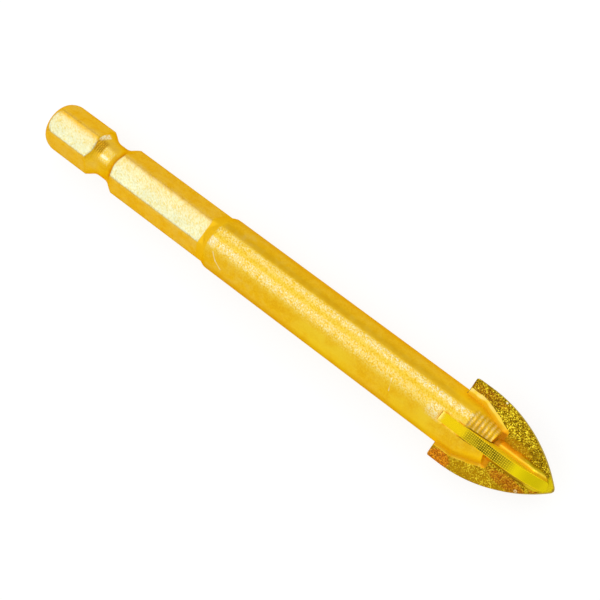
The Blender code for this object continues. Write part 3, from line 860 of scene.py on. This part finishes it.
def side_outline(relief_depth):
    """One face of a side plate as (out, along): a straight top just below the body's round,
    then an arc down to the main plate, relieved on the trailing face."""
    foot = MAIN_FACE
    standing = MAIN_FACE + BRAZE_GAP
    top = math.sqrt(BODY_RADIUS ** 2 - SIDE_FACE ** 2) - SIDE_RECESS
    sink = SIDE_ARC - top
    run = math.sqrt(SIDE_ARC ** 2 - (standing + sink) ** 2)
    tangent = BIT_LENGTH - SIDE_TIP_SETBACK - run
    radius = SIDE_ARC - relief_depth
    turn = np.linspace(0, math.acos((foot + sink) / radius), 50)
    quarter = np.linspace(0, np.pi / 2, 6)
    corner_out = radius - sink - SIDE_ROUNDING + SIDE_ROUNDING * np.sin(quarter)
    corner_along = SIDE_BACK + SIDE_ROUNDING - SIDE_ROUNDING * np.cos(quarter)
    top_along = np.linspace(SIDE_BACK + SIDE_ROUNDING, tangent, BACK_POINTS)[1:-1]
    top_out = np.full_like(top_along, radius - sink)
    foot_along = np.linspace(tangent + radius * math.sin(turn[-1]), SIDE_BACK, BACK_POINTS)[1:]
    foot_out = np.full_like(foot_along, foot)
    outs = [corner_out, top_out, radius * np.cos(turn) - sink, foot_out]
    alongs = [corner_along, top_along, tangent + radius * np.sin(turn), foot_along]
    return paired(np.concatenate(outs), np.concatenate(alongs))


GROUND = (0.84, 0.58, 0.004, 1.0)
GROUND_OLIVE = (0.62, 0.43, 0.006, 1.0)
GROUND_GREEN = (0.88, 0.69, 0.002, 1.0)
GROUND_DARK = (0.14, 0.09, 0.001, 1.0)
GROUND_BRIGHT = (0.95, 0.72, 0.03, 1.0)
FLANK_BRAZE_AND_REFLECTION = (1.0, 0.74, 0.010, 1.0)
ROW_PITCH = 0.27
FILE_PITCH = 0.25
MARK_DEPTH = 0.02
BACK_CORNER_AT = 69.2
BACK_CORNER_EDGE = (0.7, 0.9)
ground_carbide, ground_surface, start = metal("ground_carbide", THIN_COAT, OLIVE_RIM)
place, along, across, out = head_place(start)
spot = spots(along=along, wide=abs(across))
clouds = grain(place, 0.8)
waver = grain(place, 1.4) * 3.0
rows = ripple(along, ROW_PITCH, waver)
files = ripple(across, FILE_PITCH, waver)
dots = 1.0 - rows.rise(0.3, -0.3) * files.rise(0.3, -0.3)
marks = spot(along=(72.2, 73.2, 78.8, 80.2)) * (0.55 + 0.4 * clouds.rise(0.3, 0.6))
marks = marks * (0.55 + 0.45 * spot(along=(73.5, 75.5, 77.0, 78.5)))
colour = blend(spot(along=(72.0, 73.5)), GROUND, GROUND_OLIVE)
colour = blend(spot(along=(78.0, 80.5)), colour, GROUND_GREEN)
colour = blend(spot(along=(82.2, 83.4)) * 0.7, colour, TIP_GREEN)
colour = blend(marks, colour, blend(dots, GROUND_BRIGHT, GROUND_DARK))
colour = blend(spot(along=(69.6, 68.8)) * clouds.rise(0.3, 0.6) * 0.25, colour, GOLD_PALE)
colour = blend((across - along + BACK_CORNER_AT).rise(*BACK_CORNER_EDGE) * 0.7, colour, GOLD_YELLOW)
# The side plate's faces are orange: braze stain, with a painted reflection of the bright bead beside
# them.
flank = spot(wide=(0.6, 0.67))
colour = blend(flank * spot(along=(83.8, 83.0)), colour, FLANK_BRAZE_AND_REFLECTION)
tint(ground_surface, colour, 0.26 + 0.2 * marks + 0.5 * flank)
relief(ground_surface, dots * marks + clouds * 0.3, MARK_DEPTH)

leading = side_outline(0.0)
trailing = side_outline(SIDE_RELIEF)
side_rings = plate_rings(trailing, leading, SIDE_FACE, EDGE_ROUNDING)
into_point = side_rings[..., 1] - (BIT_LENGTH - SIDE_TIP_SETBACK - SIDE_POINT)
side_rings[..., 2] *= 1 - SIDE_POINT_LOSS * np.clip(into_point / SIDE_POINT, 0, 1)
out, along, across = np.moveaxis(side_rings, -1, 0)
HALVES = ((1, "front"), (-1, "back"))
for half_turn, where in HALVES:
    points = from_head(half_turn * across, half_turn * out, along)
    side_plate = skin("side_plate_" + where, points)
    seat(side_plate, ground_carbide, "coated_carbide", "side_carbide_plate_" + where)

# The braze that holds the plates has run out of the slots and set as a smooth bead round
# the foot of each cheek. It is hollow along the cheek's flank and across its end, and full
# beside the side plate. Opposite cheeks have like beads, two wide and two narrow.
BEAD_WIDE = 1.0
BEAD_NARROW = 0.5
BEAD_CORNER = 0.7
BEAD_SIDE = 0.85
BEAD_HEIGHT = 0.32
BEAD_SIDE_HEIGHT = 0.95
BEAD_SINK = 0.06
BEAD_TIP = 0.12
BEAD_STOP = 83.7
BEAD_WIDTHS = ((82.0, BEAD_SIDE), (83.0, 0.66), (BEAD_STOP, BEAD_TIP))
BEAD_HEIGHTS = ((81.8, BEAD_SIDE_HEIGHT), (83.2, 0.5), (BEAD_STOP, BEAD_TIP))
FLANK_START = 69.6
FLANK_STOP = 75.7
FLANK_TURNS = 71.6
FLANK_TURN = 0.3
HOLLOW = 2.3
FULL = 1.05
FAN_RINGS = 10
OVER_RINGS = 10
NOOK_RINGS = 7
BESIDE_RINGS = 34
RING_POINTS = 11


def barrel_wall(along, out):
    """How far across a cheek's outer face lies at a height out: sqrt(r(along)^2 - out^2)."""
    share = np.clip((along - TAPER_START) / (BODY_LENGTH - TAPER_START), 0, 1)
    radius = BODY_RADIUS + (CHEEK_END_RADIUS - BODY_RADIUS) * share
    return np.sqrt(radius ** 2 - out ** 2)


def bead_rings(width):
    """Rings of a bead as (across, out, along): each is a root in the corner, a toe out on
    the plate, a top up the wall, and between toe and top the curve toe cos(v)^p +
    top sin(v)^p, which is hollow along the cheek, where p is over 2, and full beside the
    side plate, where p is under 2. Width and height waver along the bead. The rings run
    along the flank, fan round the corner, go over the cheek's end, turn in the nook by
    the side plate and go on beside it. Each stretch has a foot, the place on the wall
    above it, the way that the bead spreads and its size."""
    base = MAIN_FACE - BEAD_SINK
    top = MAIN_FACE + BEAD_HEIGHT
    drop = BEAD_HEIGHT * CHEEK_END_LEAN

    before = np.linspace(FLANK_START, TAPER_START, 12)[:-1]
    flank = np.concatenate([before, np.linspace(TAPER_START, FLANK_STOP, 18)])
    share = np.clip((flank - TAPER_START) / (FLANK_STOP - TAPER_START), 0, 1)
    at_corner = min(width, BEAD_CORNER)
    turn = FLANK_TURN * np.clip(flank - FLANK_TURNS, 0, 1)
    stretches = [(
        paired(barrel_wall(flank, base), flank),
        paired(barrel_wall(flank - drop * share, top), flank - drop * share),
        paired(np.cos(turn), np.sin(turn)),
        width + (at_corner - width) * share,
    )]

    fan = np.linspace(FLANK_TURN, np.pi / 2, FAN_RINGS)
    top_corner = barrel_wall(BODY_LENGTH, top)
    stretches.append((
        paired(np.full_like(fan, barrel_wall(BODY_LENGTH, base)), BODY_LENGTH),
        paired(np.full_like(fan, top_corner), BODY_LENGTH - drop),
        paired(np.cos(fan), np.sin(fan)),
        np.linspace(at_corner, BEAD_CORNER, FAN_RINGS),
    ))

    over = np.linspace(top_corner - 0.1, SIDE_FACE + 0.1, OVER_RINGS)
    stretches.append((
        paired(over, BODY_LENGTH),
        paired(over, BODY_LENGTH - drop),
        paired(np.zeros_like(over), 1.0),
        np.full_like(over, BEAD_CORNER),
    ))

    nook = np.linspace(np.pi / 2, 0, NOOK_RINGS + 2)[1:-1]
    swell = 1 + 0.3 * np.sin(2 * nook)
    by_plate = np.full_like(nook, SIDE_FACE)
    stretches.append((
        paired(by_plate, BODY_LENGTH),
        paired(by_plate, BODY_LENGTH - drop / 2),
        paired(swell * np.cos(nook), swell * np.sin(nook)),
        np.linspace(BEAD_CORNER, BEAD_SIDE, NOOK_RINGS),
    ))

    beside = np.linspace(BODY_LENGTH + BEAD_CORNER, BEAD_STOP, BESIDE_RINGS)
    stretches.append((
        paired(SIDE_FACE, beside),
        paired(SIDE_FACE, beside),
        paired(np.ones_like(beside), 0.0),
        np.interp(beside, *zip(*BEAD_WIDTHS)),
    ))

    over_start = len(flank) + FAN_RINGS
    nook_start = over_start + OVER_RINGS
    beside_start = nook_start + NOOK_RINGS
    foot, wall, way, size = [np.concatenate(part) for part in zip(*stretches)]
    ring = np.arange(len(size))
    run = ring * 0.2
    size = size * (1 + 0.07 * np.sin(1.9 * run) + 0.04 * np.sin(4.3 * run + 1))
    to_side = np.clip((ring - (over_start + 4)) / 9, 0, 1)
    side_height = np.interp(foot[:, 1], *zip(*BEAD_HEIGHTS))
    height = (top - base) + (side_height - BEAD_HEIGHT) * to_side
    height = height * (1 + 0.06 * np.sin(2.7 * run + 2))

    across_end = (ring >= over_start) & (ring < beside_start)
    wall[:, 1] = np.where(across_end, foot[:, 1] - height * CHEEK_END_LEAN, wall[:, 1])

    v = np.linspace(0, np.pi / 2, RING_POINTS)
    turning_full = [len(flank), over_start + 5, nook_start + 2, beside_start + 1]
    power = np.interp(ring, turning_full, [HOLLOW, 2.0, 1.7, FULL])[:, None]
    nothing = np.zeros((len(size), 1))
    toe_share = np.concatenate([np.cos(v) ** power, nothing], axis=1)[..., None]
    top_share = np.concatenate([np.sin(v) ** power, nothing], axis=1)[..., None]
    root = (foot - way * BEAD_SINK)[:, None, :]
    flat = root + way[:, None, :] * (size[:, None, None] + BEAD_SINK) * toe_share
    flat = flat + (wall - foot)[:, None, :] * top_share
    out = base + height[:, None] * top_share[..., 0]
    return flat[..., 0], out, flat[..., 1]


BRAZE_DEEP = (0.86, 0.40, 0.004, 1.0)
BRAZE_LIGHT = (1.0, 0.74, 0.08, 1.0)
BRAZE_ORANGE = (0.98, 0.47, 0.006, 1.0)
BRAZE_DARK_BROWN = (0.55, 0.22, 0.002, 1.0)
BRAZE_SHELF = (1.0, 0.62, 0.010, 1.0)
BRAZE_YELLOW = (1.0, 0.68, 0.05, 1.0)
BRAZE_EARTH = (0.62, 0.46, 0.006, 1.0)
BRAZE_CREAM = (0.97, 0.73, 0.21, 1.0)
BRAZE_AMBER = (0.80, 0.42, 0.002, 1.0)
SEAM_BROWN = (0.36, 0.21, 0.004, 1.0)
BRAZE_DEPTH = 0.06
BRAZE_COAT = 0.1
braze, braze_surface, start = metal("braze", BRAZE_COAT, GOLD_RIM)
place, along, across, out = head_place(start)
clouds = grain(place, 0.9)
colour = blend(clouds.rise(0.3, 0.7), BRAZE_DEEP, BRAZE_LIGHT)

# Along a cheek's flank the bead is amber by the wall, and orange up the wall and across the
# cheek's end, which is painted shade in the crease. Its outer strip is pale, a painted highlight.
# What tells them apart is how far a place lies past the wall, which follows the taper inwards.
WALL_AT_PLATE = math.sqrt(BODY_RADIUS ** 2 - MAIN_FACE ** 2)
WALL_AT_END = math.sqrt(CHEEK_END_RADIUS ** 2 - MAIN_FACE ** 2)
WALL_TAPER = (WALL_AT_PLATE - WALL_AT_END) / (BODY_LENGTH - TAPER_START)
off = abs(across)
into_taper = start.maths("MAXIMUM", along - TAPER_START, 0.0)
past_wall = off - WALL_AT_PLATE + into_taper * WALL_TAPER
spot = spots(along=along, off=off, high=abs(out), past=past_wall, sided=across * out)
painted_shade_up_the_wall = spot(high=(1.12, 1.3), off=(2.0, 2.2))
colour = blend(painted_shade_up_the_wall + spot(along=(75.6, 76.2)), colour, BRAZE_ORANGE)
inner_painted_shade = spot(past=(0.4, 0.25), off=(2.0, 2.2), along=(76.0, 75.4))
colour = blend(inner_painted_shade * 0.8, colour, BRAZE_AMBER)
outer_painted_highlight = spot(past=(0.30, 0.48), along=(76.4, 75.6))
wide_side = spot(sided=(0.0, 1.0))
strip_colour = blend(wide_side, BRAZE_SHELF, BRAZE_YELLOW)
painted_cream_highlights = clouds.rise(0.35, 0.65) * spot(along=(75.0, 71.5)) * wide_side
strip_colour = blend(painted_cream_highlights, strip_colour, BRAZE_CREAM)
colour = blend(outer_painted_highlight, colour, strip_colour)

# Beside the side plate it is a bright shelf with an orange skirt that greys to the tip.
# Across the cheek's end it is darker, more so on the wide beads, and one side of each bead lies in
# shade.
beside = spot(along=(76.3, 76.7), off=(1.6, 1.5))
skirt = blend(spot(along=(78.6, 81.0)), BRAZE_ORANGE, BRAZE_EARTH)
colour = blend(beside, colour, blend(spot(off=(1.02, 1.2)), BRAZE_SHELF, skirt))
# A painted highlight runs along the crest of the bead beside the side plate.
colour = blend(beside * spot(off=(0.98, 1.04, 1.14, 1.2)) * 0.8, colour, BRAZE_YELLOW)
# Painted shade darkens the bead in the crease at the side plate's foot.
colour = blend(beside * spot(off=(1.0, 0.9)) * 0.7, colour, BRAZE_AMBER)
dark_at_cheek_end = spot(along=(75.8, 75.9, 76.4, 76.8), off=(0.7, 0.8, 2.3, 2.6))
colour = blend(dark_at_cheek_end * (0.35 + 0.4 * wide_side), colour, BRAZE_DARK_BROWN)
shaded_side = spot(sided=(-0.2, -0.6), along=(76.2, 77.0))
shade = blend(spot(along=(81.3, 82.3)), SEAM_BROWN, BRAZE_EARTH)
colour = blend(shaded_side * 0.8, colour, shade)

# In the seams beside the side plate it is brown, and pale behind the plate's back end.
in_seam = spot(off=(1.1, 1.0), high=(1.8, 2.0), along=(76.1, 75.9))
colour = blend(in_seam * spot(along=(71.8, 72.8)), colour, SEAM_BROWN)
colour = blend(in_seam * spot(along=(69.2, 68.8)) * 0.6, colour, BRAZE_CREAM)
dull = 0.15 * beside * spot(off=(1.2, 1.3)) + 0.3 * spot(past=(0.3, 0.1))
tint(braze_surface, colour, 0.24 + 0.14 * clouds + dull)
relief(braze_surface, clouds + grain(place, 0.25) * 0.2, BRAZE_DEPTH)

for half_turn, where in HALVES:
    for side, size_name, width in ((1, "wide", BEAD_WIDE), (-1, "narrow", BEAD_NARROW)):
        across, out, along = bead_rings(width)
        points = from_head(side * half_turn * across, half_turn * out, along)
        bead = skin("bead_" + size_name + "_" + where, points)
        seat(bead, braze, "braze", "braze_bead_" + size_name + "_" + where)

# The slots are filled with braze up to just below the steel. It shows as a thin line on
# both sides of each side plate, round its back end, and behind the main plate.
SEAM_HALF = 0.11
SEAM_ARCH = 0.05
SEAM_LEANS_FROM = 74.0
SEAM_POINTS = 9


def seam_rings():
    """Rings of the braze line as (across, out, along): a low arch carried along a path
    that runs up one side of the side plate, round its back in two quarter turns, and down
    the other side. Its top is at the round body's height and its foot on the main plate,
    and near the cheek's end it leans as that end does."""
    reach = SIDE_FACE + BRAZE_GAP / 2
    bend = SIDE_CORNER - BRAZE_GAP / 2
    back = SIDE_BACK - BRAZE_GAP / 2
    quarter = np.linspace(0, np.pi / 2, 9)
    run = np.linspace(BODY_LENGTH - 0.1, back + bend, 60)[:-1]
    turned_in = reach - bend + bend * np.cos(quarter)
    across = np.concatenate([np.full_like(run, reach), turned_in])
    along = np.concatenate([run, back + bend - bend * np.sin(quarter)])
    across = np.concatenate([across, -across[::-1]])
    along = np.concatenate([along, along[::-1]])
    path = paired(across, along)
    step = np.gradient(path, axis=0)
    step /= np.linalg.norm(step, axis=1, keepdims=True)
    side = paired(-step[:, 1], step[:, 0])
    radius = np.interp(along, [TAPER_START, BODY_LENGTH], [BODY_RADIUS, CHEEK_END_RADIUS])
    lift = np.sqrt(radius ** 2 - across ** 2)
    round_back = np.clip(SIDE_BACK + 0.3 - along, 0, 0.4)
    wide = SEAM_HALF * (1 + 0.25 * np.sin(7 * along) + 0.8 * round_back)
    v = np.linspace(0, np.pi, SEAM_POINTS)
    offset = np.cos(v)[None, :, None] * wide[:, None, None] * side[:, None, :]
    top = lift[:, None] - SEAM_ARCH + SEAM_ARCH * np.sin(v)[None, :]
    out = np.concatenate([top, np.full((len(along), 2), MAIN_FACE)], axis=1)
    flat = path[:, None, :] + offset
    flat = np.concatenate([flat, flat[:, -1:], flat[:, :1]], axis=1)
    near_end = np.clip((flat[..., 1] - SEAM_LEANS_FROM) / (BODY_LENGTH - SEAM_LEANS_FROM), 0, 1)
    return flat[..., 0], out, flat[..., 1] - (out - MAIN_FACE) * CHEEK_END_LEAN * near_end


across, out, along = seam_rings()
for half_turn, where in HALVES:
    seam = skin("braze_seam_" + where, from_head(half_turn * across, half_turn * out, along))
    seat(seam, braze, "braze")

level = np.linspace(-slot_half, slot_half, 13)[:, None]
half_width = np.sqrt(BODY_RADIUS ** 2 - level ** 2) * np.array([[-1.0, 1.0, 1.0, -1.0]])
places = np.array([[slot_bottom, slot_bottom, MAIN_BACK, MAIN_BACK]])
seat(skin("braze_behind_main_plate", from_head(half_width, level, places)), braze, "braze")
